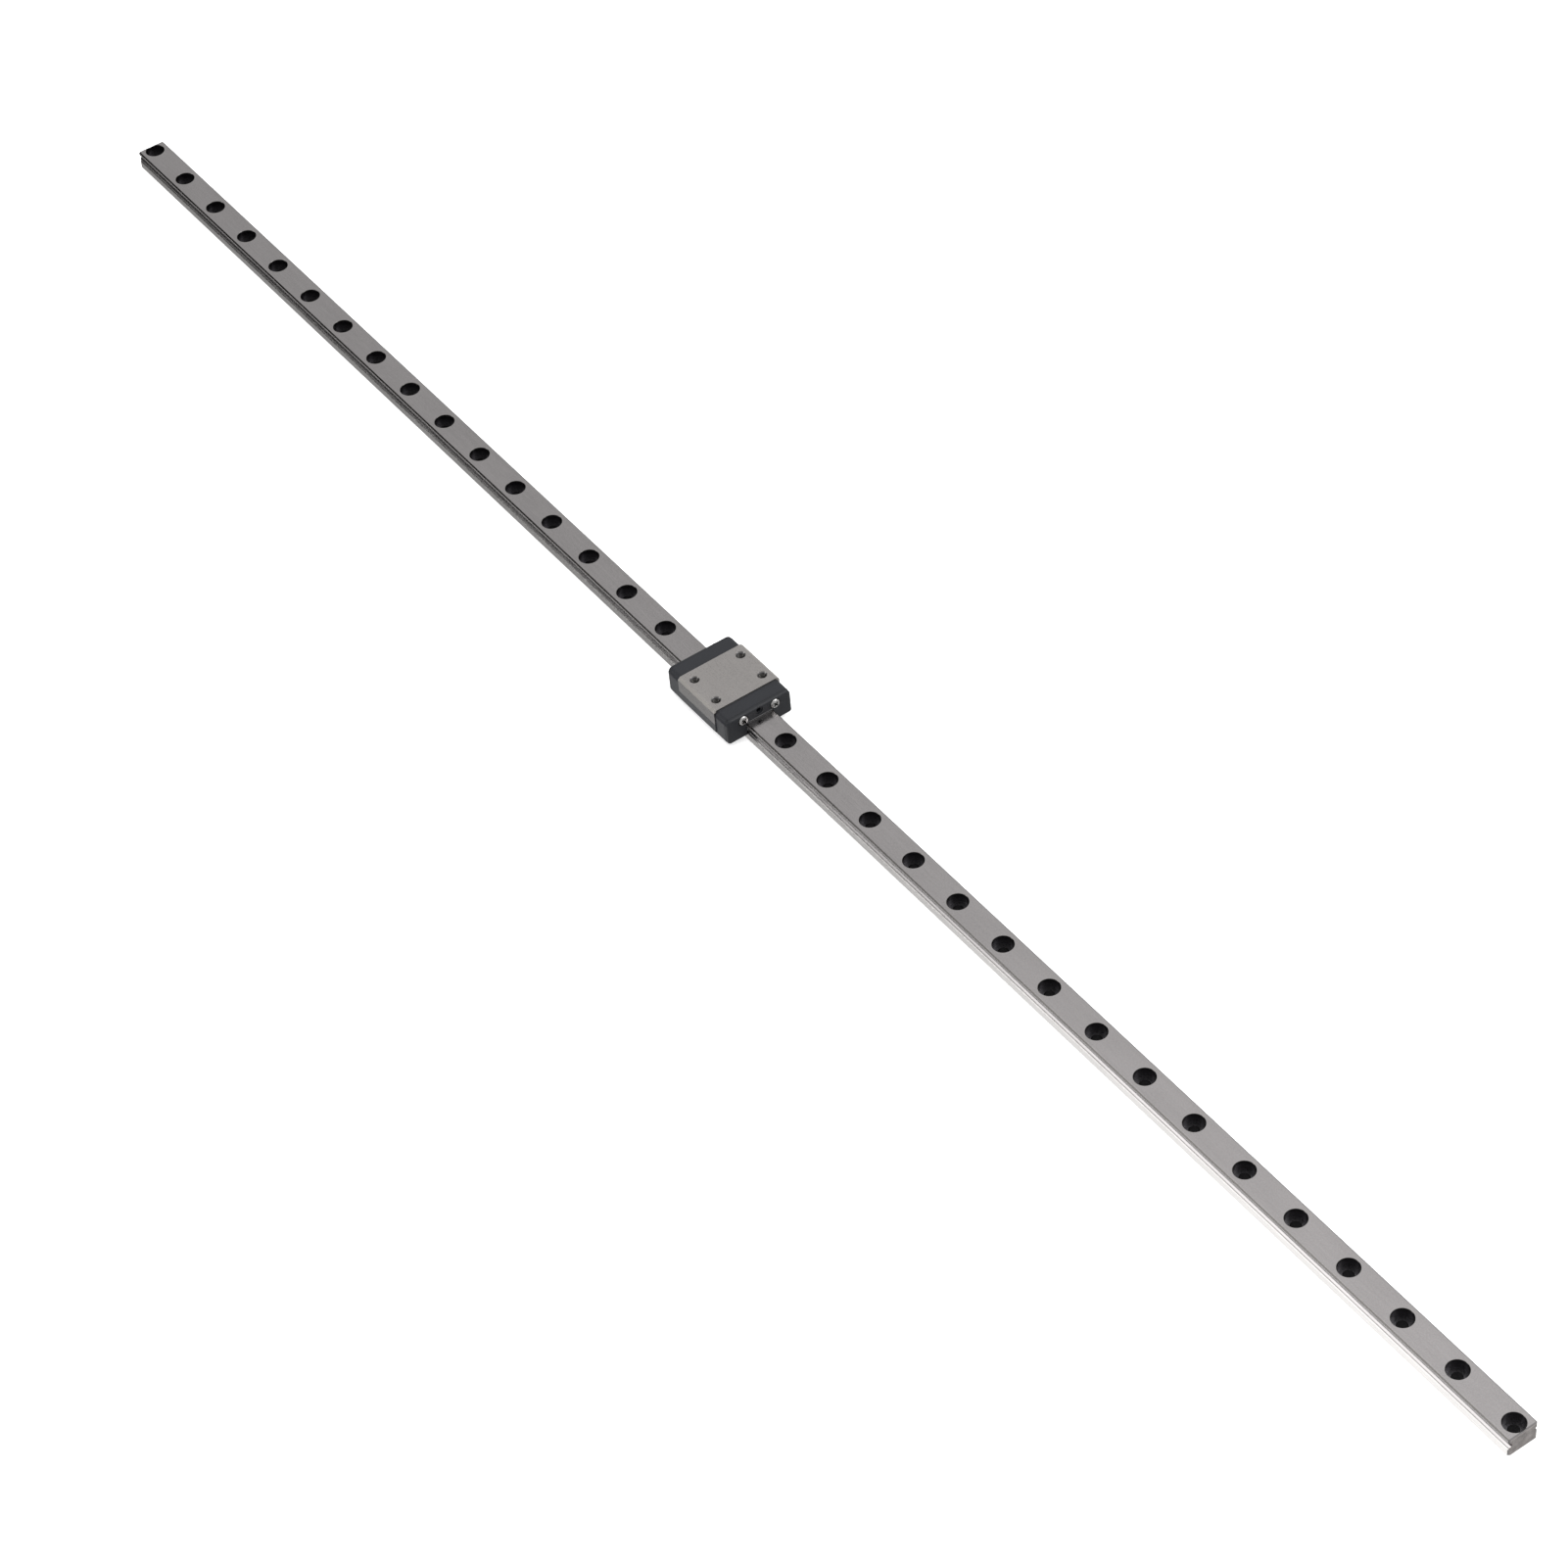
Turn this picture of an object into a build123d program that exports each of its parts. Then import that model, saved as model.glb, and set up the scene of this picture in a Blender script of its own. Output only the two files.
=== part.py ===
"""Miniature linear guide: a 7 mm profiled rail, 500 mm long, with one short recirculating-ball carriage.

Frame: millimetres, +X along the rail towards the carriage's front end, +Z up out of the rail's top face,
origin at the centre of the rail's bottom face. Left is -Y, right is +Y, front is +X, rear is -X.
"""

import math
import os

from build123d import *

# Rail
RAIL_LENGTH = 500.0
RAIL_WIDTH = 7.0
RAIL_HEIGHT = 4.8
RAIL_TOP_CHAMFER = 0.3
RAIL_FOOT_CHAMFER = 0.3
RAIL_END_BREAK = 0.35
FOOT_HEIGHT = 1.95  # the ground datum band at the foot of each side
NECK_RELIEF = 0.2  # how far the side is relieved between the foot and the raceway
NECK_SLOPE = 0.15

# Bolt holes along the rail
HOLE_PITCH = 15.0
HOLE_COUNT = 34
FIRST_HOLE = 2.4  # from the rear end, so close that the counterbore cuts into the end chamfer
BOLT_RADIUS = 1.2
HEAD_RADIUS = 2.3
HEAD_DEPTH = 2.3
MOUTH_CHAMFER = 0.06

# Ball circuit
BALL_RADIUS = 1.5875 / 2
BALLS_PER_CIRCUIT = 21
TRACK_Y = 3.75  # loaded row, centred in the gap between the rail and the block's leg
TRACK_Z = 3.25
RETURN_Y = 6.5  # unloaded row
ARCH_RADIUS = 0.86
ARCH_OFFSET = 0.04  # each arc's centre is this far above or below the track, which makes the gothic point
CHANNEL_RADIUS = 0.84
WIRE_RADIUS = 0.12
WIRE_Y = 2.81  # between the balls and the bottom of the rail's wire slot
WIRE_SLOT_Y = 2.65
WIRE_SLOT_HEIGHT = 0.4
WIRE_END_X = 9.45  # from the carriage's middle to the wire's hooked end
WIRE_END_Y = 4.35
WIRE_BEND = 0.3

# Carriage
REST_X = 1.7  # where the carriage stands on the rail at rest
CARRIAGE_LENGTH = 22.5
BLOCK_LENGTH = 13.5
BLOCK_WIDTH = 17.0
BLOCK_TOP = 8.0
BLOCK_UNDERSIDE = 1.5  # underside of the plastic frames
BLOCK_CHAMFER = 0.6
BLOCK_SKIRT_Z = 4.2  # where the steel side stops and the plastic frame starts
CHANNEL_HALF_WIDTH = 4.0
CHANNEL_TOP = 5.1
LEG_OUTER_Y = 5.3
LEG_BOTTOM_Z = 2.2
TAP_SPACING_X = 8.0
TAP_SPACING_Y = 12.0
TAP_RADIUS = 0.8
TAP_MOUTH_RADIUS = 1.12
TAP_MOUTH_ANGLE = 90
TAP_DEPTH = 2.5

# Plastic end caps and rubber end seals
SEAL_THICKNESS = 1.1
CAP_HALF_WIDTH = 8.3
CAP_TOP = 7.65
CAP_UNDERSIDE = 1.2
CAP_TOP_RADIUS = 1.3
CAP_FOOT_RADIUS = 0.65
FRAME_FOOT_CHAMFER = 0.5
CAP_OPENING_HALF_WIDTH = 3.8
SEAL_INSET = 0.04
SEAL_EDGE_RADIUS = 0.6
LIP_GAP = 0.06
GUIDE_RADIUS = 1.3
GUIDE_BOTTOM_Z = 2.15
GUIDE_TOP_Z = 4.35
GUIDE_GAP = 0.02
GALLERY_DEPTH = 0.4
GALLERY_WIDTH = 0.36
GALLERY_Z = 7.2
GALLERY_END_Y = 6.6
OIL_PORT_Z = 6.6
OIL_PORT_RADIUS = 0.6
OIL_RECESS_RADIUS = 0.95
OIL_RECESS_DEPTH = 0.2

# Screws that hold the caps and seals
SCREW_Y = 4.1
SCREW_Z = 6.1
SCREW_RADIUS = 0.6
SCREW_HOLE_RADIUS = 0.62
SCREW_CLEARANCE_RADIUS = 0.7
SCREW_HEAD_RADIUS = 1.15
SCREW_HEAD_HEIGHT = 0.75
SCREW_HEAD_ROUND = 0.5
SCREW_POCKET_RADIUS = 1.3
SCREW_POCKET_DEPTH = 0.4
SCREW_BITE = 2.6  # depth of thread in the block
CROSS_WIDTH = 0.36
CROSS_SPAN = 1.35
CROSS_DEPTH = 0.45
CROSS_TAPER = 12  # degrees on each wall of the cross recess

# Places worked out from the sizes above
BLOCK_END_X = REST_X + BLOCK_LENGTH / 2
CARRIAGE_END_X = REST_X + CARRIAGE_LENGTH / 2
CAP_END_X = CARRIAGE_END_X - SEAL_THICKNESS
TURN_RADIUS = (RETURN_Y - TRACK_Y) / 2
TURN_Y = (RETURN_Y + TRACK_Y) / 2
CARRIAGE_MIDDLE = Plane.YZ.offset(REST_X)


def write(builder, name):
    """Labels a finished piece and writes it as one STEP file named after its node."""
    builder.part.label = name
    export_step(builder.part, f"parts/{name}.step")


def mirrored(source, plane):
    """The same piece on the other side of a plane, as a builder of its own."""
    with BuildPart() as copy:
        mirror(source.part, about=plane)
    return copy


def gothic_arch(radius):
    """Raceway shape seen along the rail: the overlap of a raised circle and a lowered one."""
    with BuildSketch() as arch:
        with Locations((0, ARCH_OFFSET)):
            Circle(radius)
        with Locations((0, -ARCH_OFFSET)):
            Circle(radius, mode=Mode.INTERSECT)
    return arch.sketch


def make_rail():
    half = RAIL_WIDTH / 2
    neck = half - NECK_RELIEF
    side = [
        (half - RAIL_FOOT_CHAMFER, 0),
        (half, RAIL_FOOT_CHAMFER),
        (half, RAIL_HEIGHT - RAIL_TOP_CHAMFER),
        (half - RAIL_TOP_CHAMFER, RAIL_HEIGHT),
    ]
    relief = [
        (half, FOOT_HEIGHT),
        (neck, FOOT_HEIGHT + NECK_SLOPE),
        (neck, TRACK_Z),
        (half + NECK_RELIEF, TRACK_Z),
        (half + NECK_RELIEF, FOOT_HEIGHT),
    ]
    slot_length = half - WIRE_SLOT_Y
    slot_middle = half - slot_length / 2
    with BuildSketch(Plane.XZ) as hole_profile:
        with BuildLine():
            Polyline(
                (0, -1),
                (BOLT_RADIUS, -1),
                (BOLT_RADIUS, RAIL_HEIGHT - HEAD_DEPTH),
                (HEAD_RADIUS, RAIL_HEIGHT - HEAD_DEPTH),
                (HEAD_RADIUS, RAIL_HEIGHT - MOUTH_CHAMFER),
                (HEAD_RADIUS + 2 * MOUTH_CHAMFER, RAIL_HEIGHT + MOUTH_CHAMFER),
                (0, RAIL_HEIGHT + MOUTH_CHAMFER),
                close=True,
            )
        make_face()
    with BuildPart() as bolt_hole:
        revolve(hole_profile.sketch, axis=Axis.Z)

    with BuildPart() as rail:
        with BuildSketch(Plane.YZ.offset(-RAIL_LENGTH / 2)):
            with BuildLine():
                Polyline(side + [(-y, z) for y, z in reversed(side)], close=True)
            make_face()
        extrude(amount=RAIL_LENGTH)
        ends = rail.faces().sort_by(Axis.X)
        chamfer(ends[0].edges() + ends[-1].edges(), RAIL_END_BREAK)
        with BuildSketch(Plane.YZ.offset(-RAIL_LENGTH / 2)):
            with BuildLine():
                Polyline(relief, close=True)
            make_face()
            mirror(about=Plane.YZ)
            with Locations((TRACK_Y, TRACK_Z), (-TRACK_Y, TRACK_Z)):
                add(gothic_arch(ARCH_RADIUS))
            with Locations((slot_middle, TRACK_Z), (-slot_middle, TRACK_Z)):
                Rectangle(slot_length, WIRE_SLOT_HEIGHT)
        extrude(amount=RAIL_LENGTH, mode=Mode.SUBTRACT)
        first = -RAIL_LENGTH / 2 + FIRST_HOLE
        with Locations([(first + i * HOLE_PITCH, 0) for i in range(HOLE_COUNT)]):
            add(bolt_hole.part, mode=Mode.SUBTRACT)
    return rail


def make_block():
    """Hardened steel block: an inverted U whose legs carry the loaded raceways."""
    half = BLOCK_WIDTH / 2
    side = [
        (CHANNEL_HALF_WIDTH, CHANNEL_TOP),
        (CHANNEL_HALF_WIDTH, LEG_BOTTOM_Z),
        (LEG_OUTER_Y, LEG_BOTTOM_Z),
        (LEG_OUTER_Y, BLOCK_SKIRT_Z),
        (half, BLOCK_SKIRT_Z),
        (half, BLOCK_TOP - BLOCK_CHAMFER),
        (half - BLOCK_CHAMFER, BLOCK_TOP),
    ]
    with BuildPart() as block:
        with BuildSketch(CARRIAGE_MIDDLE):
            with BuildLine():
                Polyline(side + [(-y, z) for y, z in reversed(side)], close=True)
            make_face()
            with Locations((TRACK_Y, TRACK_Z), (-TRACK_Y, TRACK_Z)):
                add(gothic_arch(ARCH_RADIUS), mode=Mode.SUBTRACT)
        extrude(amount=BLOCK_LENGTH / 2, both=True)
        with BuildSketch(CARRIAGE_MIDDLE.offset(BLOCK_LENGTH / 2)):
            with Locations((SCREW_Y, SCREW_Z), (-SCREW_Y, SCREW_Z)):
                Circle(SCREW_HOLE_RADIUS)
        extrude(amount=-SCREW_BITE - SCREW_RADIUS, mode=Mode.SUBTRACT)
        with BuildSketch(CARRIAGE_MIDDLE.offset(-BLOCK_LENGTH / 2)):
            with Locations((SCREW_Y, SCREW_Z), (-SCREW_Y, SCREW_Z)):
                Circle(SCREW_HOLE_RADIUS)
        extrude(amount=SCREW_BITE + SCREW_RADIUS, mode=Mode.SUBTRACT)
        with Locations(Plane(origin=(REST_X, 0, BLOCK_TOP))):
            with GridLocations(TAP_SPACING_X, TAP_SPACING_Y, 2, 2):
                CounterSinkHole(TAP_RADIUS, TAP_MOUTH_RADIUS, TAP_DEPTH, TAP_MOUTH_ANGLE)
    return block


def make_return_frame():
    """Right-hand plastic frame: holds the returning balls and closes the block's leg from below."""
    half = BLOCK_WIDTH / 2
    with BuildPart() as frame:
        with BuildSketch(CARRIAGE_MIDDLE):
            with BuildLine():
                Polyline(
                    (CAP_OPENING_HALF_WIDTH, BLOCK_UNDERSIDE),
                    (half - FRAME_FOOT_CHAMFER, BLOCK_UNDERSIDE),
                    (half, BLOCK_UNDERSIDE + FRAME_FOOT_CHAMFER),
                    (half, BLOCK_SKIRT_Z),
                    (LEG_OUTER_Y, BLOCK_SKIRT_Z),
                    (LEG_OUTER_Y, LEG_BOTTOM_Z),
                    (CAP_OPENING_HALF_WIDTH, LEG_BOTTOM_Z),
                    close=True,
                )
            make_face()
            with Locations((RETURN_Y, TRACK_Z)):
                Circle(CHANNEL_RADIUS, mode=Mode.SUBTRACT)
        extrude(amount=BLOCK_LENGTH / 2, both=True)
    return frame


def cap_outline(inset=0.0):
    """Outline shared by the end cap and, slightly smaller, the end seal, without the rail's opening."""
    half = CAP_HALF_WIDTH - inset
    low, high = CAP_UNDERSIDE + inset, CAP_TOP - inset
    with BuildSketch() as outline:
        with Locations((0, (low + high) / 2)):
            Rectangle(2 * half, high - low)
        fillet(outline.vertices().group_by(Axis.Y)[-1], CAP_TOP_RADIUS)
        fillet(outline.vertices().group_by(Axis.Y)[0], CAP_FOOT_RADIUS)
    return outline.sketch


def make_cap():
    """Front end cap: turns each row of balls back through a half circle and spreads the oil."""
    opening_height = CHANNEL_TOP - CAP_UNDERSIDE
    gallery_rise = GALLERY_Z - OIL_PORT_Z
    gallery_fall = GALLERY_Z - TRACK_Z
    with BuildPart() as cap:
        with BuildSketch(Plane.YZ.offset(BLOCK_END_X)):
            add(cap_outline())
            with Locations((0, CAP_UNDERSIDE + opening_height / 2)):
                Rectangle(2 * CAP_OPENING_HALF_WIDTH, opening_height, mode=Mode.SUBTRACT)
            with Locations((SCREW_Y, SCREW_Z), (-SCREW_Y, SCREW_Z)):
                Circle(SCREW_CLEARANCE_RADIUS, mode=Mode.SUBTRACT)
            with Locations((0, OIL_PORT_Z)):
                Circle(OIL_PORT_RADIUS, mode=Mode.SUBTRACT)
        extrude(amount=CAP_END_X - BLOCK_END_X)
        with BuildSketch(Plane.YZ.offset(BLOCK_END_X)):
            with Locations((0, OIL_PORT_Z + gallery_rise / 2)):
                Rectangle(GALLERY_WIDTH, gallery_rise)
            with Locations((0, GALLERY_Z)):
                Rectangle(2 * GALLERY_END_Y + GALLERY_WIDTH, GALLERY_WIDTH)
            gallery_middle = GALLERY_Z - gallery_fall / 2
            with Locations((GALLERY_END_Y, gallery_middle), (-GALLERY_END_Y, gallery_middle)):
                Rectangle(GALLERY_WIDTH, gallery_fall)
        extrude(amount=GALLERY_DEPTH, mode=Mode.SUBTRACT)
        for side in (-1, 1):
            add(turn_channel(side), mode=Mode.SUBTRACT)
            with BuildSketch(Plane.XY.offset(GUIDE_BOTTOM_Z)):
                with Locations((BLOCK_END_X, side * TURN_Y)):
                    Circle(GUIDE_RADIUS + GUIDE_GAP)
            extrude(amount=GUIDE_TOP_Z - GUIDE_BOTTOM_Z, mode=Mode.SUBTRACT)
            with BuildSketch(Plane.XZ.offset(-side * CAP_OPENING_HALF_WIDTH)):
                with Locations((REST_X + WIRE_END_X, TRACK_Z)):
                    Circle(WIRE_RADIUS + GUIDE_GAP)
            extrude(amount=-side * (WIRE_END_Y + GUIDE_GAP - CAP_OPENING_HALF_WIDTH), mode=Mode.SUBTRACT)
    return cap


def turn_channel(side):
    """Ring-shaped ball passage round one turn, of which a cap uses the front half."""
    with BuildPart(mode=Mode.PRIVATE) as channel:
        with BuildSketch(Plane.YZ.offset(BLOCK_END_X)):
            with Locations((side * TRACK_Y, TRACK_Z)):
                Circle(CHANNEL_RADIUS)
        revolve(axis=Axis((BLOCK_END_X, side * TURN_Y, 0), (0, 0, 1)))
    return channel.part


def make_turn_guide(side):
    """Half spool inside a cap, round which the balls turn; its flat face lies on the block's end."""
    with BuildPart() as guide:
        with BuildSketch(Plane.XY.offset(GUIDE_BOTTOM_Z)):
            with BuildLine():
                arc = CenterArc((BLOCK_END_X, side * TURN_Y), GUIDE_RADIUS, -90, 180)
                Line(arc @ 1, arc @ 0)
            make_face()
        extrude(amount=GUIDE_TOP_Z - GUIDE_BOTTOM_Z)
        add(turn_channel(side), mode=Mode.SUBTRACT)
    return guide


def make_seal():
    """Front end seal: a plate that wipes the rail, with lips that reach into both raceways."""
    half = RAIL_WIDTH / 2 + LIP_GAP
    top = RAIL_HEIGHT + LIP_GAP
    with BuildPart() as seal:
        with BuildSketch(Plane.YZ.offset(CAP_END_X)):
            add(cap_outline(SEAL_INSET))
        extrude(amount=SEAL_THICKNESS)
        fillet(seal.faces().sort_by(Axis.X)[-1].edges(), SEAL_EDGE_RADIUS)
        with BuildSketch(Plane.YZ.offset(CAP_END_X)):
            with BuildLine():
                Polyline(
                    (half, 0),
                    (half, top - RAIL_TOP_CHAMFER),
                    (half - RAIL_TOP_CHAMFER, top),
                    (RAIL_TOP_CHAMFER - half, top),
                    (-half, top - RAIL_TOP_CHAMFER),
                    (-half, 0),
                    close=True,
                )
            make_face()
            with Locations((TRACK_Y, TRACK_Z), (-TRACK_Y, TRACK_Z)):
                add(gothic_arch(ARCH_RADIUS - LIP_GAP), mode=Mode.SUBTRACT)
            with Locations((SCREW_Y, SCREW_Z), (-SCREW_Y, SCREW_Z)):
                Circle(SCREW_CLEARANCE_RADIUS)
            with Locations((0, OIL_PORT_Z)):
                Circle(OIL_PORT_RADIUS)
        extrude(amount=SEAL_THICKNESS, mode=Mode.SUBTRACT)
        with BuildSketch(Plane.YZ.offset(CARRIAGE_END_X)):
            with Locations((0, OIL_PORT_Z)):
                Circle(OIL_RECESS_RADIUS)
        extrude(amount=-OIL_RECESS_DEPTH, mode=Mode.SUBTRACT)
        with BuildSketch(Plane.YZ.offset(CARRIAGE_END_X)):
            with Locations((SCREW_Y, SCREW_Z), (-SCREW_Y, SCREW_Z)):
                Circle(SCREW_POCKET_RADIUS)
        extrude(amount=-SCREW_POCKET_DEPTH, mode=Mode.SUBTRACT)
    return seal


def make_screw(side):
    """Front cross-recess pan-head screw through the seal and the cap into the block."""
    seat_x = CARRIAGE_END_X - SCREW_POCKET_DEPTH
    seat = Plane(origin=(seat_x, side * SCREW_Y, SCREW_Z), x_dir=(0, 1, 0), z_dir=(1, 0, 0))
    shank = seat_x - BLOCK_END_X + SCREW_BITE
    with BuildPart() as screw:
        with BuildSketch(seat.offset(-shank)):
            Circle(SCREW_RADIUS)
        extrude(amount=shank)
        with BuildSketch(seat):
            Circle(SCREW_HEAD_RADIUS)
        extrude(amount=SCREW_HEAD_HEIGHT)
        fillet(screw.faces().sort_by(Axis.X)[-1].edges(), SCREW_HEAD_ROUND)
        with BuildSketch(seat.offset(SCREW_HEAD_HEIGHT)):
            with Locations(Rotation(0, 0, 45)):
                Rectangle(CROSS_SPAN, CROSS_WIDTH)
                Rectangle(CROSS_WIDTH, CROSS_SPAN)
        extrude(amount=-CROSS_DEPTH, taper=CROSS_TAPER, mode=Mode.SUBTRACT)
    return screw


def make_wire():
    """Right-hand retaining wire: keeps the balls in the block off the rail, hooked into both caps."""
    end = REST_X + WIRE_END_X
    start = REST_X - WIRE_END_X
    with BuildPart() as wire:
        with BuildLine() as path:
            FilletPolyline(
                (start, WIRE_END_Y, TRACK_Z),
                (start, WIRE_Y, TRACK_Z),
                (end, WIRE_Y, TRACK_Z),
                (end, WIRE_END_Y, TRACK_Z),
                radius=WIRE_BEND,
            )
        with BuildSketch(Plane(origin=path.line @ 0, z_dir=path.line % 0)):
            Circle(WIRE_RADIUS)
        sweep()
    return wire


def ball_places():
    """Ball centres round the right-hand circuit, by zone, as (x, y) pairs evenly spaced along the loop."""
    turn = math.pi * TURN_RADIUS
    loop = 2 * (BLOCK_LENGTH + turn)
    zones = {"load": [], "front_turn": [], "return": [], "rear_turn": []}
    for i in range(BALLS_PER_CIRCUIT):
        s = (BLOCK_LENGTH / 2 + i * loop / BALLS_PER_CIRCUIT) % loop
        if s < BLOCK_LENGTH:
            zones["load"].append((REST_X - BLOCK_LENGTH / 2 + s, TRACK_Y))
        elif s < BLOCK_LENGTH + turn:
            angle = (s - BLOCK_LENGTH) / TURN_RADIUS
            x = BLOCK_END_X + TURN_RADIUS * math.sin(angle)
            zones["front_turn"].append((x, TURN_Y - TURN_RADIUS * math.cos(angle)))
        elif s < 2 * BLOCK_LENGTH + turn:
            zones["return"].append((BLOCK_END_X - (s - BLOCK_LENGTH - turn), RETURN_Y))
        else:
            angle = (s - 2 * BLOCK_LENGTH - turn) / TURN_RADIUS
            x = REST_X - BLOCK_LENGTH / 2 - TURN_RADIUS * math.sin(angle)
            zones["rear_turn"].append((x, TURN_Y + TURN_RADIUS * math.cos(angle)))
    return zones


def make_balls(centres):
    """One zone's balls, as separate solids in one piece."""
    with BuildPart() as balls:
        with Locations([(x, y, TRACK_Z) for x, y in centres]):
            Sphere(BALL_RADIUS)
    return balls


def main():
    os.makedirs("parts", exist_ok=True)
    write(make_rail(), "rail")
    write(make_block(), "carriage_block")

    right_pieces = {"return_frame": make_return_frame(), "retaining_wire": make_wire()}
    for zone, centres in ball_places().items():
        right_pieces[f"{zone}_balls"] = make_balls(centres)
    for name, piece in right_pieces.items():
        write(piece, f"right_{name}")
        write(mirrored(piece, Plane.XZ), f"left_{name}")

    front_pieces = {"end_cap": make_cap(), "end_seal": make_seal()}
    for side_name, side in (("left", -1), ("right", 1)):
        front_pieces[f"{side_name}_turn_guide"] = make_turn_guide(side)
        front_pieces[f"{side_name}_screw"] = make_screw(side)
    for name, piece in front_pieces.items():
        write(piece, f"front_{name}")
        write(mirrored(piece, CARRIAGE_MIDDLE), f"rear_{name}")


main()
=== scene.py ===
import math

import bmesh
import bpy
from mathutils import Matrix, Vector


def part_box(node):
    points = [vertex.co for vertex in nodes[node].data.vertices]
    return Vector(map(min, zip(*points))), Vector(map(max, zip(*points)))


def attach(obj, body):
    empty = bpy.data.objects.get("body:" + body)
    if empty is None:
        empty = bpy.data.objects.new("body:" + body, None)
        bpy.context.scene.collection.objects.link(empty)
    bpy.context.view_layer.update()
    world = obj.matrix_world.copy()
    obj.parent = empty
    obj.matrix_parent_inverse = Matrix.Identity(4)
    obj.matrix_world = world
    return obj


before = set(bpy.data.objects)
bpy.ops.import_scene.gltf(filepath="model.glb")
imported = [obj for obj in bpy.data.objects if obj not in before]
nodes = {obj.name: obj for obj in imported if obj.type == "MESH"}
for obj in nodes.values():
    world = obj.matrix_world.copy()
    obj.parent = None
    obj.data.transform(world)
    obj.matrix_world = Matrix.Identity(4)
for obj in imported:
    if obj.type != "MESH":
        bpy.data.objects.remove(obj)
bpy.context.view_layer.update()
MM = 0.001

# ---------------------------------------------------------------- sizes in millimetres

rail_low, rail_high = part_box("rail")
block_low, block_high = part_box("carriage_block")
RAIL_TOP = rail_high.z / MM
RAIL_END = rail_high.x / MM
RAIL_SIDE = rail_high.y / MM
BLOCK_TOP = block_high.z / MM
BLOCK_SIDE = block_high.y / MM
BLOCK_MIDDLE = (block_low.x + block_high.x) / 2 / MM
HOLE_PITCH = 15.0
FIRST_HOLE = rail_low.x / MM + 2.4
TAP_X, TAP_Y = 4.0, 6.0
SCREW_Y, SCREW_Z = 4.1, 6.1
HEAD_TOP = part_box("front_left_screw")[1].x / MM - BLOCK_MIDDLE

# Each mask reaches just past the surface it marks, so that no rim of the bare tone is left.
HEAD_REACH, BOLT_REACH, MOUTH_REACH = 2.36, 1.23, 2.44
SEAT_Z, BOLT_LOW, BOLT_HIGH = 2.44, 0.12, 2.6
MOUTH_DEPTH = 0.055
FOOT_TOP, FOOT_OUT = 2.13, 3.15
LAND_LOW = 3.9
CHAMFER_REACH, CHAMFER_IN, CHAMFER_OUT = 0.33, 3.215, 3.485
TAP_REACH, TAP_LOW, TAP_MOUTH = 0.94, 5.3, 0.14
SINK_REACH, SINK_LOW = 1.15, 7.6
BEVEL_OUT, BEVEL_LOW = 7.89, 7.38
LIP_HEIGHT, LIP_OUT = 0.30, 3.3
RECESS_REACH, RECESS_DEPTH = 0.74, 0.05

# ---------------------------------------------------------------- tones

# Painted sheen: a pale grey highlight along the seal's lip.
LIP_SHEEN_GREY = (0.15, 0.15, 0.155)
# Painted shade in the cross recesses of the screw heads.
RECESS_SHADE_BLACK = (0.07, 0.068, 0.066)
HOLE_BLACK = (0.072, 0.070, 0.074)
# Tones for the zones matt, fresh, dark and holes, in that order.
# The rail's dark tone is painted shade on the chamfers, and it darkens the hole mouths too.
RAIL_TONES = ((0.51, 0.495, 0.485), (0.62, 0.575, 0.555), (0.11, 0.105, 0.10), HOLE_BLACK)
# On the block the fresh and dark tones are painted shade, on the countersinks and the side faces.
BLOCK_TONES = ((0.52, 0.50, 0.475), (0.27, 0.262, 0.255), (0.27, 0.26, 0.255), HOLE_BLACK)
# Painted light: a hole is lighter in its narrow bore than on its walls, to even out what reaches
# the eye.
BORE_GAIN, WALL_GAIN = 1.6, 1.4
BORE_TOP, WALL_LOW = 2.42, 2.7
HOLE_ROUGH, DULL_ROUGH = 0.12, 0.28
SIDE_RELIEF = 0.03


# ---------------------------------------------------------------- node helpers

def new_material(name):
    """An empty node material, its tree and its Principled shader."""
    mat = bpy.data.materials.new(name)
    mat.use_nodes = True
    tree = mat.node_tree
    tree.nodes.clear()
    out = tree.nodes.new("ShaderNodeOutputMaterial")
    shader = tree.nodes.new("ShaderNodeBsdfPrincipled")
    tree.links.new(shader.outputs["BSDF"], out.inputs["Surface"])
    return mat, tree, shader


def coords(tree, scale):
    """Object coordinates, in metres, scaled."""
    tc = tree.nodes.new("ShaderNodeTexCoord")
    mp = tree.nodes.new("ShaderNodeMapping")
    mp.inputs["Scale"].default_value = scale
    tree.links.new(tc.outputs["Object"], mp.inputs["Vector"])
    return mp.outputs["Vector"]


def noise(tree, scale, detail, rough, size=1.0):
    """Noise over the object coordinates times scale, one number for each axis."""
    n = tree.nodes.new("ShaderNodeTexNoise")
    n.inputs["Scale"].default_value = size
    n.inputs["Detail"].default_value = detail
    n.inputs["Roughness"].default_value = rough
    tree.links.new(coords(tree, scale), n.inputs["Vector"])
    return n.outputs["Fac"]


def remap(tree, value, a, b, low=0.3, high=0.7):
    """a at low, b at high, straight between and level beyond.
    Noise lies mostly between 0.3 and 0.7."""
    m = tree.nodes.new("ShaderNodeMapRange")
    m.inputs["From Min"].default_value = low
    m.inputs["From Max"].default_value = high
    m.inputs["To Min"].default_value = a
    m.inputs["To Max"].default_value = b
    tree.links.new(value, m.inputs["Value"])
    return m.outputs["Result"]


def math_node(tree, op, a, b=None):
    m = tree.nodes.new("ShaderNodeMath")
    m.operation = op
    for i, v in enumerate((a, b)):
        if v is None:
            continue
        if isinstance(v, (int, float)):
            m.inputs[i].default_value = v
        else:
            tree.links.new(v, m.inputs[i])
    return m.outputs["Value"]


def total(tree, first, *others):
    for v in others:
        first = math_node(tree, "ADD", first, v)
    return first


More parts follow.
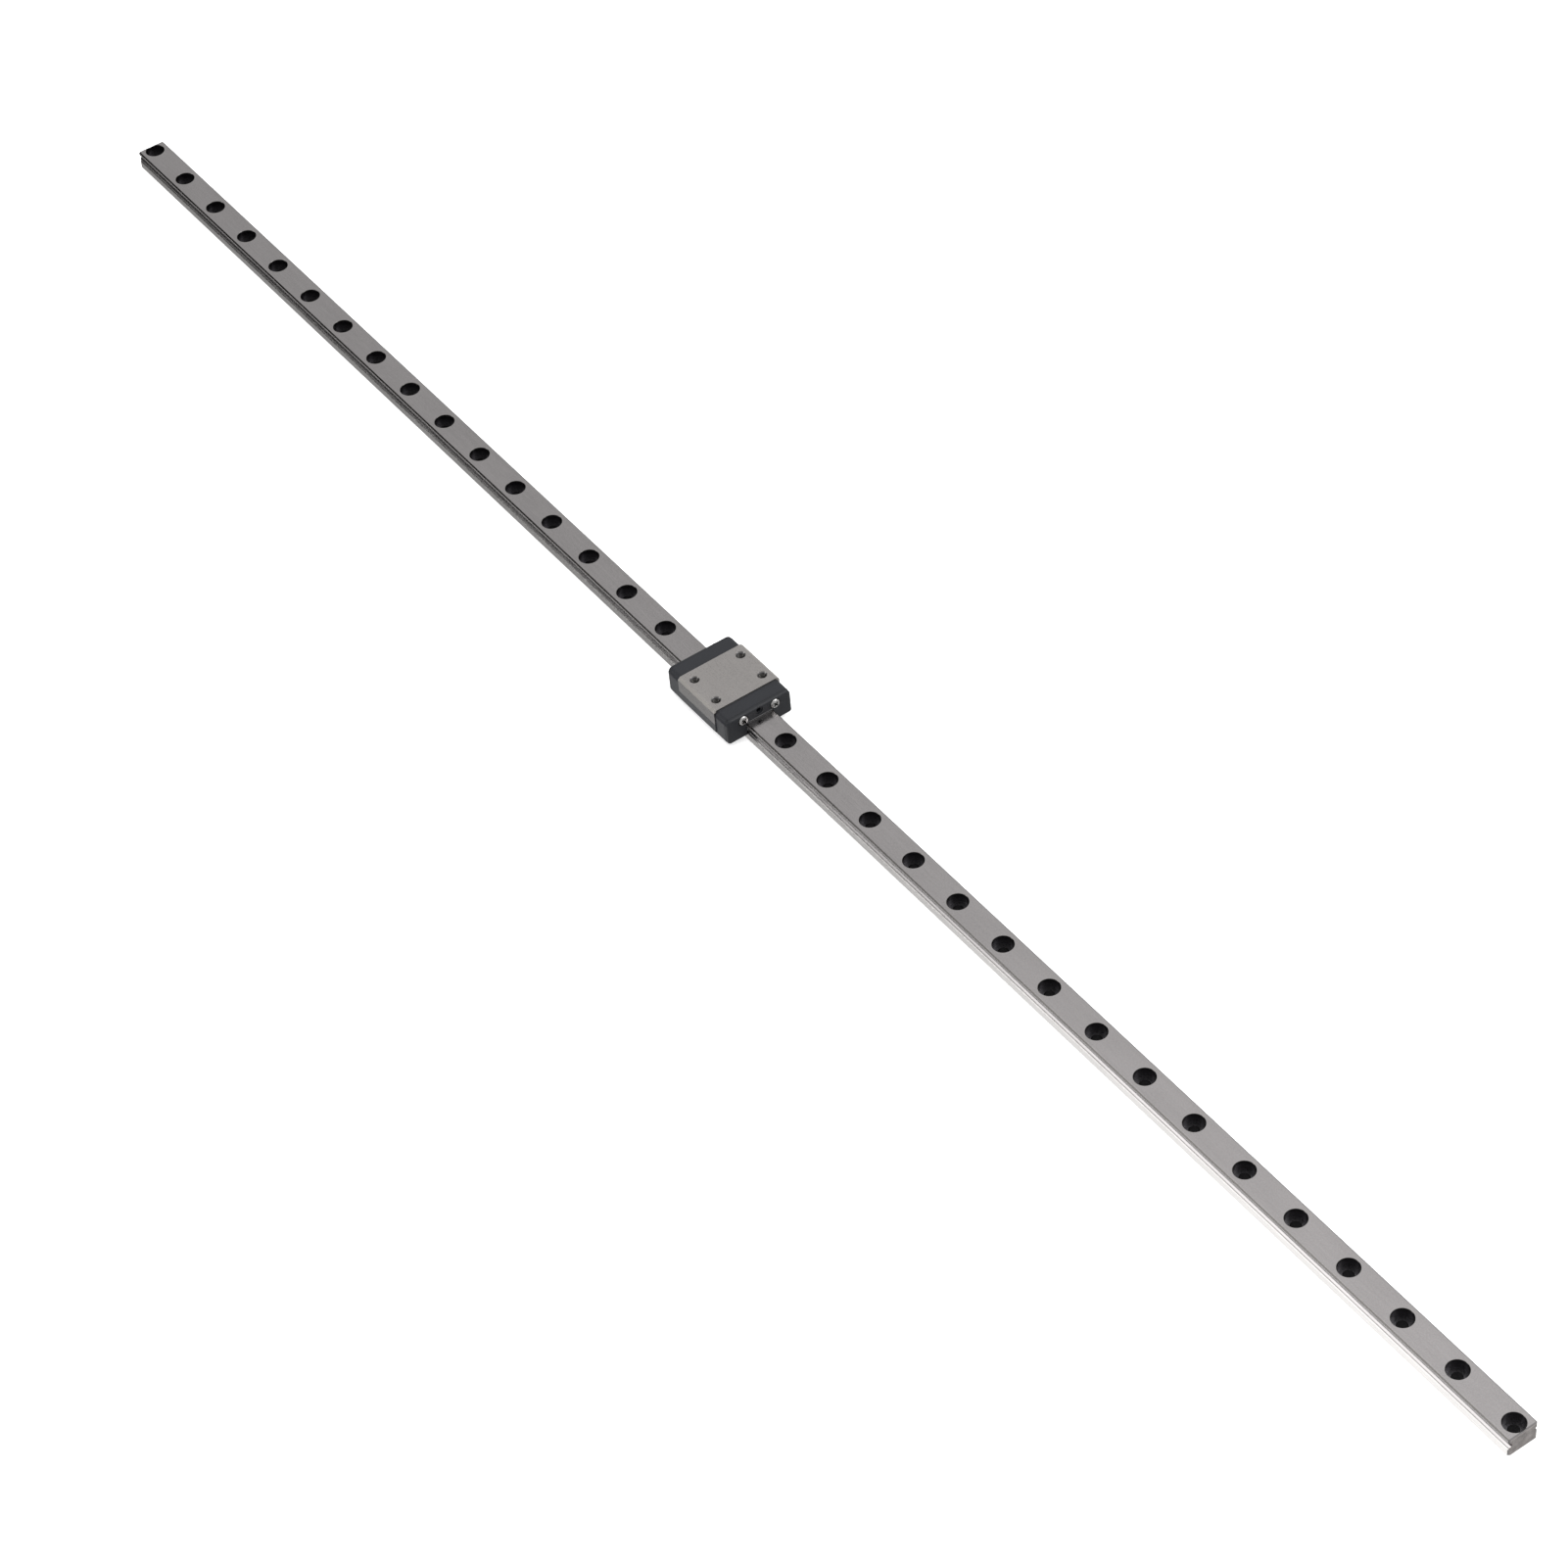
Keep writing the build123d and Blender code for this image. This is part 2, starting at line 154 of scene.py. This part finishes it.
def product(tree, first, *others):
    for v in others:
        first = math_node(tree, "MULTIPLY", first, v)
    return first


def absolute(tree, value):
    return math_node(tree, "ABSOLUTE", value)


def distance(tree, u, v):
    """sqrt(u*u + v*v)"""
    return math_node(tree, "SQRT", total(tree, product(tree, u, u), product(tree, v, v)))


def above(tree, value, edge, soft=0.02):
    """0 below the edge, 1 above it."""
    return remap(tree, value, 0.0, 1.0, edge - soft, edge + soft)


def invert(tree, mask):
    return math_node(tree, "SUBTRACT", 1.0, mask)


def below(tree, value, edge, soft=0.02):
    """1 below the edge, 0 above it."""
    return invert(tree, above(tree, value, edge, soft))


def scaled(tree, base, tone):
    """A fixed colour times a tone that varies over the surface."""
    vec = tree.nodes.new("ShaderNodeVectorMath")
    vec.operation = "SCALE"
    vec.inputs[0].default_value = base
    tree.links.new(tone, vec.inputs["Scale"])
    return vec.outputs["Vector"]


def mix(tree, fac, a, b):
    """Colour a where fac is 0, b where it is 1. b is a socket or a fixed colour."""
    m = tree.nodes.new("ShaderNodeMix")
    m.data_type = "RGBA"
    tree.links.new(fac, m.inputs[0])
    tree.links.new(a, m.inputs[6])
    if isinstance(b, tuple):
        m.inputs[7].default_value = (*b, 1.0)
    else:
        tree.links.new(b, m.inputs[7])
    return m.outputs[2]


def bump(tree, shader, height, strength, depth_mm, under=None):
    b = tree.nodes.new("ShaderNodeBump")
    b.inputs["Strength"].default_value = strength
    b.inputs["Distance"].default_value = depth_mm * MM
    tree.links.new(height, b.inputs["Height"])
    if under is not None:
        tree.links.new(under, b.inputs["Normal"])
    tree.links.new(b.outputs["Normal"], shader.inputs["Normal"])
    return b.outputs["Normal"]


def edge_wear(tree, radius_mm, low, high):
    """0 on open faces, 1 on rounded or broken edges."""
    bev = tree.nodes.new("ShaderNodeBevel")
    bev.samples = 4
    bev.inputs["Radius"].default_value = radius_mm * MM
    geo = tree.nodes.new("ShaderNodeNewGeometry")
    dot = tree.nodes.new("ShaderNodeVectorMath")
    dot.operation = "DOT_PRODUCT"
    tree.links.new(bev.outputs["Normal"], dot.inputs[0])
    tree.links.new(geo.outputs["Normal"], dot.inputs[1])
    return remap(tree, dot.outputs["Value"], 1.0, 0.0, low, high)


def position_mm(tree):
    """Object coordinates as separate x, y and z, in millimetres."""
    sep = tree.nodes.new("ShaderNodeSeparateXYZ")
    tree.links.new(coords(tree, (1 / MM, 1 / MM, 1 / MM)), sep.inputs[0])
    return sep.outputs


# ---------------------------------------------------------------- zones

def rail_zones(tree):
    """Inside the bolt holes, the matt feet of the sides, the cut ends, the chamfers with painted
    shade, the darkened hole mouths, and the dull land above the raceways."""
    x, y, z = position_mm(tree)
    side = absolute(tree, y)
    turns = math_node(tree, "DIVIDE", math_node(tree, "SUBTRACT", x, FIRST_HOLE), HOLE_PITCH)
    nearest = math_node(tree, "ROUND", turns)
    off = product(tree, math_node(tree, "SUBTRACT", turns, nearest), HOLE_PITCH)
    r = distance(tree, off, y)
    head = product(tree, below(tree, r, HEAD_REACH), above(tree, z, SEAT_Z),
                   below(tree, z, RAIL_TOP - MOUTH_DEPTH, 0.01))
    bolt = product(tree, below(tree, r, BOLT_REACH), above(tree, z, BOLT_LOW),
                   below(tree, z, BOLT_HIGH))
    holes = math_node(tree, "MAXIMUM", head, bolt)
    matt = product(tree, above(tree, side, FOOT_OUT, 0.03), below(tree, z, FOOT_TOP, 0.04))
    fresh = above(tree, absolute(tree, x), RAIL_END - 0.1, 0.05)
    # Painted shade: the chamfers along the top edges are darkened.
    chamfer_painted_shade = product(tree, above(tree, total(tree, side, z), RAIL_SIDE + RAIL_TOP - CHAMFER_REACH),
                      above(tree, side, CHAMFER_IN, 0.01), below(tree, side, CHAMFER_OUT, 0.01),
                      invert(tree, fresh))
    mouth = product(tree, below(tree, r, MOUTH_REACH),
                    above(tree, z, RAIL_TOP - MOUTH_DEPTH - 0.003, 0.002),
                    below(tree, z, RAIL_TOP - 0.003, 0.002))
    land = product(tree, above(tree, side, RAIL_SIDE - 0.03), above(tree, z, LAND_LOW))
    return holes, matt, fresh, math_node(tree, "MAXIMUM", chamfer_painted_shade, mouth), land


def block_zones(tree):
    """Inside the tapped holes, the bevels along the top, the countersinks and the side faces.
    The countersinks and side faces get painted shade. Nothing is dull."""
    x, y, z = position_mm(tree)
    side = absolute(tree, y)
    across = math_node(tree, "SUBTRACT", side, TAP_Y)
    along = absolute(tree, math_node(tree, "SUBTRACT", x, BLOCK_MIDDLE))
    r = distance(tree, math_node(tree, "SUBTRACT", along, TAP_X), across)
    holes = product(tree, below(tree, r, TAP_REACH), above(tree, z, TAP_LOW),
                    below(tree, z, BLOCK_TOP - TAP_MOUTH))
    # Painted shade: the countersinks are darkened.
    sink_painted_shade = product(tree, below(tree, r, SINK_REACH), above(tree, z, SINK_LOW),
                   below(tree, z, BLOCK_TOP - 0.01, 0.005))
    bevel = product(tree, above(tree, side, BEVEL_OUT), above(tree, z, BEVEL_LOW))
    # Painted shade: the side faces are darkened.
    flank_painted_shade = product(tree, above(tree, side, BLOCK_SIDE - 0.02, 0.01), invert(tree, bevel))
    return holes, bevel, sink_painted_shade, flank_painted_shade, None


def seal_lip_sheen(tree):
    """The thin edge of the seal that rubs along the rail's top, where a pale grey sheen, a
    highlight, is painted.
    """
    _, y, z = position_mm(tree)
    return product(tree, below(tree, z, RAIL_TOP + LIP_HEIGHT, 0.04),
                   below(tree, absolute(tree, y), LIP_OUT))


def cross_recess_shade(tree):
    """Inside the cross recess of any of the four screw heads, where shade is painted dark."""
    x, y, z = position_mm(tree)
    across = math_node(tree, "SUBTRACT", absolute(tree, y), SCREW_Y)
    r = distance(tree, across, math_node(tree, "SUBTRACT", z, SCREW_Z))
    along = absolute(tree, math_node(tree, "SUBTRACT", x, BLOCK_MIDDLE))
    return product(tree, below(tree, along, HEAD_TOP - RECESS_DEPTH), below(tree, r, RECESS_REACH))


# ---------------------------------------------------------------- materials

def ground_steel(name, base, rough, bright, zones, tones, matt_rough, relief):
    """Ground steel with fine lengthwise grain. zones(tree) masks the holes and what is matt,
    fresh, dark and dull. The dark zone paints shade, and on the block the fresh zone does too."""
    mat, tree, shader = new_material(name)
    grain = noise(tree, (160, 5200, 5200), 3.0, 0.6)
    lines = noise(tree, (25, 1500, 1500), 2.0, 0.5)
    clouds = noise(tree, (60, 200, 200), 2.0, 0.5)
    specks = noise(tree, (3400, 4200, 4200), 3.0, 0.65)
    blotches = noise(tree, (550, 550, 550), 2.0, 0.5)
    tone = total(tree, remap(tree, grain, -bright, bright), remap(tree, clouds, -0.03, 0.03),
                 remap(tree, specks, -0.09, 0.09),
                 remap(tree, lines, -0.5 * bright, 0.5 * bright), 1.0)
    holes, matt, fresh, dark, dull = zones(tree)
    height = position_mm(tree)[2]
    uneven = product(tree, tone, remap(tree, blotches, 0.70, 1.12))
    # Painted light: the narrow bore is made lighter than the hole's walls.
    bore_painted_light = remap(tree, height, BORE_GAIN, WALL_GAIN, BORE_TOP, WALL_LOW)
    black = product(tree, remap(tree, specks, 0.6, 1.5), bore_painted_light)
    colour = scaled(tree, base, tone)
    masks, variations = (matt, fresh, dark, holes), (tone, uneven, tone, black)
    # The dark zone, and on the block the fresh zone, are painted shade.
    for mask, zone_tone, varied in zip(masks, tones, variations):
        colour = mix(tree, mask, colour, scaled(tree, zone_tone, varied))
    tree.links.new(colour, shader.inputs["Base Color"])
    shader.inputs["Metallic"].default_value = 1.0
    r = total(tree, remap(tree, grain, rough - 0.03, rough + 0.04),
              remap(tree, specks, -0.03, 0.03),
              product(tree, matt, matt_rough), product(tree, holes, HOLE_ROUGH))
    if dull is not None:
        r = total(tree, r, product(tree, dull, DULL_ROUGH))
        even = remap(tree, height, SIDE_RELIEF, 1.0, RAIL_TOP - 0.10, RAIL_TOP - 0.06)
        grain, specks = product(tree, grain, even), product(tree, specks, even)
    tree.links.new(r, shader.inputs["Roughness"])
    first = bump(tree, shader, grain, 0.3 * relief, 0.003)
    bump(tree, shader, specks, 0.35 * relief, 0.004, first)
    return mat


def moulded(name, base, rough, texture, painted_sheen=None):
    """Moulded plastic or rubber: fine spark-eroded texture, slight flow marks, edges worn pale,
    and a painted grey sheen, a highlight, where the optional mask says."""
    mat, tree, shader = new_material(name)
    fine = noise(tree, (1, 1, 1), 4.0, 0.6, texture)
    flow = noise(tree, (220, 120, 320), 2.0, 0.5)
    wear = edge_wear(tree, 0.09, 0.80, 0.99)
    tone = total(tree, remap(tree, fine, 0.86, 1.14), remap(tree, flow, -0.08, 0.08))
    paler = tuple(c * 2.0 + 0.02 for c in base)
    colour = mix(tree, product(tree, wear, 0.55), scaled(tree, base, tone), paler)
    # Painted sheen: the masked lip is made pale grey as a highlight.
    if painted_sheen:
        colour = mix(tree, painted_sheen(tree), colour, LIP_SHEEN_GREY)
    tree.links.new(colour, shader.inputs["Base Color"])
    r = total(tree, remap(tree, fine, rough - 0.05, rough + 0.08), remap(tree, flow, -0.04, 0.04))
    tree.links.new(r, shader.inputs["Roughness"])
    bump(tree, shader, fine, 0.5, 0.008)
    shader.inputs["Specular IOR Level"].default_value = 0.42
    return mat


def plated(name, base, rough, scratches=0.06, painted_shade=None):
    """Bright plated or polished metal with hairline scratches, and painted shade, dark, where the
    optional mask says.
    """
    mat, tree, shader = new_material(name)
    fine = noise(tree, (900, 2400, 4200), 4.0, 0.6)
    soft = noise(tree, (700, 700, 700), 2.0, 0.5)
    colour = scaled(tree, base, remap(tree, soft, 0.93, 1.07))
    # Painted shade: the masked recess is made dark.
    if painted_shade:
        colour = mix(tree, painted_shade(tree), colour, RECESS_SHADE_BLACK)
    tree.links.new(colour, shader.inputs["Base Color"])
    shader.inputs["Metallic"].default_value = 1.0
    tree.links.new(remap(tree, fine, rough, rough + scratches), shader.inputs["Roughness"])
    bump(tree, shader, fine, 0.2, 0.002)
    return mat


rail_steel = ground_steel("rail_steel", (0.402, 0.384, 0.383), 0.18, 0.03, rail_zones, RAIL_TONES,
                          matt_rough=0.05, relief=0.7)
block_steel = ground_steel("block_steel", (0.402, 0.383, 0.372), 0.30, 0.012, block_zones,
                           BLOCK_TONES, matt_rough=0.42, relief=0.4)
cap_black = moulded("cap_black", (0.015, 0.0163, 0.0205), 0.42, 5200.0)
frame_black = moulded("frame_black", (0.030, 0.031, 0.034), 0.45, 5200.0)
rubber_black = moulded("rubber_black", (0.0125, 0.0136, 0.0170), 0.50, 7000.0, seal_lip_sheen)
screw_plate = plated("screw_plate", (0.62, 0.61, 0.60), 0.14, 0.06, cross_recess_shade)
ball_polish = plated("ball_polish", (0.66, 0.66, 0.67), 0.05, 0.03)
wire_drawn = plated("wire_drawn", (0.55, 0.55, 0.54), 0.22)
thread_steel = plated("thread_steel", (0.12, 0.115, 0.11), 0.24)

# The first row whose words are in a node's name gives its material.
FINISHES = (("carriage_block", block_steel), ("end_cap", cap_black), ("end_seal", rubber_black),
            ("screw", screw_plate), ("balls", ball_polish), ("wire", wire_drawn),
            ("rail", rail_steel))
for node_name, node in nodes.items():
    finish = next((material for words, material in FINISHES if words in node_name), frame_black)
    node.data.materials.clear()
    node.data.materials.append(finish)


# ---------------------------------------------------------------- threads in the tapped holes

THREAD_STEPS = 28  # per turn
THREAD_FADE = 10.0  # steps over which the ridge rises at each end
THREAD_TOP = BLOCK_TOP - 0.42
THREAD_DEPTH, THREAD_PITCH = 1.9, 0.4
THREAD_RADIUS, THREAD_HEIGHT, THREAD_ROOT = 0.80, 0.11, 0.03


def thread(name, cx, cy):
    """Internal screw thread: one helical ridge standing in from the wall of a tapped hole."""
    bm = bmesh.new()
    count = int(THREAD_DEPTH / THREAD_PITCH * THREAD_STEPS)
    base = THREAD_RADIUS + THREAD_ROOT
    rings = []
    for i in range(count + 1):
        a = 2 * math.pi * i / THREAD_STEPS
        z = THREAD_TOP - THREAD_PITCH * i / THREAD_STEPS
        fade = min(1.0, i / THREAD_FADE, (count - i) / THREAD_FADE)
        tip = THREAD_RADIUS - THREAD_HEIGHT * max(fade, 0.05)
        foot, crest = THREAD_PITCH * 0.40, THREAD_PITCH * 0.07
        profile = ((base, z + foot), (tip, z + crest), (tip, z - crest), (base, z - foot))
        rings.append([bm.verts.new(((cx + r * math.cos(a)) * MM, (cy + r * math.sin(a)) * MM,
                                    h * MM)) for r, h in profile])
    for lower, upper in zip(rings, rings[1:]):
        for k in range(4):
            bm.faces.new((lower[k], lower[(k + 1) % 4], upper[(k + 1) % 4], upper[k]))
    bm.faces.new(rings[0])
    bm.faces.new(list(reversed(rings[-1])))
    bmesh.ops.recalc_face_normals(bm, faces=bm.faces)
    mesh = bpy.data.meshes.new(name)
    bm.to_mesh(mesh)
    bm.free()
    mesh.materials.append(thread_steel)
    for poly in mesh.polygons:
        poly.use_smooth = True
    mesh.set_sharp_from_angle(angle=math.radians(30.0))
    o = bpy.data.objects.new(name, mesh)
    bpy.context.scene.collection.objects.link(o)
    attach(o, "carriage")


for i, (sx, sy) in enumerate(((-1, -1), (1, -1), (-1, 1), (1, 1))):
    thread(f"tap_thread_{i + 1}", BLOCK_MIDDLE + sx * TAP_X, sy * TAP_Y)

# ---------------------------------------------------------------- camera

PHOTO_SIDE = 1601.0  # pixels
FOCAL = 4405.27  # pixels
AZIMUTH, ELEVATION, ROLL = 58.5229, 45.0215, 5.6945
# The origin as the camera sees it: right, down and forward, in millimetres.
ORIGIN_SEEN = (-12.2911, -18.0320, 924.9394)


def set_camera():
    az, el, ro = (math.radians(v) for v in (AZIMUTH, ELEVATION, ROLL))
    back = Vector((math.sin(az) * math.cos(el), -math.cos(az) * math.cos(el), math.sin(el)))
    forward = -back
    level = forward.cross(Vector((0, 0, 1))).normalized()
    plumb = forward.cross(level)
    right = level * math.cos(ro) + plumb * math.sin(ro)
    down = plumb * math.cos(ro) - level * math.sin(ro)
    offset = right * ORIGIN_SEEN[0] + down * ORIGIN_SEEN[1] + forward * ORIGIN_SEEN[2]
    data = bpy.data.cameras.new("camera")
    data.sensor_width = 36.0
    data.lens = FOCAL / PHOTO_SIDE * data.sensor_width
    data.clip_start, data.clip_end = 0.01, 20.0
    cam = bpy.data.objects.new("camera", data)
    bpy.context.scene.collection.objects.link(cam)
    turn = Matrix((right, -down, back)).transposed()
    cam.matrix_world = Matrix.Translation(-offset * MM) @ turn.to_4x4()
    bpy.context.scene.camera = cam


set_camera()


# ---------------------------------------------------------------- floor

def stage_plane(name, finish, length, width, z, base, rough, specular, glow):
    """A level rectangle of the stage, which isn't part of the object. Sizes are in metres."""
    mesh = bpy.data.meshes.new(name)
    h, w = length / 2, width / 2
    mesh.from_pydata([(-h, -w, z), (h, -w, z), (h, w, z), (-h, w, z)], [], [(0, 1, 2, 3)])
    mat, _, shader = new_material(finish)
    shader.inputs["Base Color"].default_value = (base, base, base, 1)
    shader.inputs["Roughness"].default_value = rough
    shader.inputs["Specular IOR Level"].default_value = specular
    shader.inputs["Emission Color"].default_value = (1, 1, 1, 1)
    shader.inputs["Emission Strength"].default_value = glow
    mesh.materials.append(mat)
    o = bpy.data.objects.new(name, mesh)
    bpy.context.scene.collection.objects.link(o)
    return o


# The metal reflects the world's pale table instead of the floor.
floor = stage_plane("floor", "floor_white", 60.0, 60.0, -0.00002, 0.9, 0.9, 0.1, 0.62)
floor.visible_glossy = False
# Hidden under the rail, so that little light comes up through the bolt holes.
stage_plane("shade", "shade_dark", 0.499, 0.0060, -0.00001, 0.01, 1.0, 0.0, 0.08)


# ---------------------------------------------------------------- light

def area(name, centre, size_x, size_y, power):
    """An area light aimed at the origin."""
    data = bpy.data.lights.new(name, "AREA")
    data.shape = "RECTANGLE"
    data.size, data.size_y = size_x, size_y
    data.energy = power
    o = bpy.data.objects.new(name, data)
    bpy.context.scene.collection.objects.link(o)
    turn = (-Vector(centre)).to_track_quat("-Z", "Y").to_matrix()
    o.matrix_world = Matrix.Translation(centre) @ turn.to_4x4()
    return o


# Brightness of the room by direction, each pair at the two ends of its fade.
CEILING = (0.60, 1.04)
WALL = (0.04, 0.48)
UNDER = (0.42, 2.0)
WINDOW = 2.6


def studio_world():
    """The room that metal reflects: pale ceiling, left wall dark over its far half with one
    bright window in it, and a pale table below on the far side."""
    world = bpy.data.worlds.new("world")
    world.use_nodes = True
    tree = world.node_tree
    tc = tree.nodes.new("ShaderNodeTexCoord")
    sep = tree.nodes.new("ShaderNodeSeparateXYZ")
    tree.links.new(tc.outputs["Generated"], sep.inputs[0])
    x, y, z = sep.outputs

    def blend(fac, low, high):
        return total(tree, low, product(tree, fac, math_node(tree, "SUBTRACT", high, low)))

    def rise(value, low, high):
        return remap(tree, value, 0.0, 1.0, low, high)

    def fall(value, low, high):
        return remap(tree, value, 1.0, 0.0, low, high)

    ceiling = remap(tree, z, *CEILING, 0.70, 0.765)
    wall = remap(tree, x, *WALL, -0.595, -0.51)
    upper = blend(rise(y, -0.30, 0.05), wall, ceiling)
    upper = blend(rise(z, 0.78, 0.92), upper, ceiling)
    table = product(tree, fall(z, -0.748, -0.725), fall(x, -0.25, 0.25))
    room = blend(rise(z, -0.52, -0.30), blend(table, *UNDER), upper)
    window = product(tree, rise(x, -0.588, -0.558), fall(x, -0.36, -0.26), fall(y, -0.45, -0.35),
                     rise(z, -0.10, 0.02), fall(z, 0.74, 0.84))
    background = tree.nodes["Background"]
    background.inputs["Color"].default_value = (1, 1, 1, 1)
    tree.links.new(blend(window, room, WINDOW), background.inputs["Strength"])
    bpy.context.scene.world = world


studio_world()
area("key", (0.45, 0.9, 1.3), 1.2, 0.8, 9)
# Seen from straight above, polished steel would mirror this light and vanish on the white floor.
area("top", (0.3, -0.1, 1.6), 1.2, 1.2, 8).visible_glossy = False
bpy.context.scene.view_settings.view_transform = "Standard"
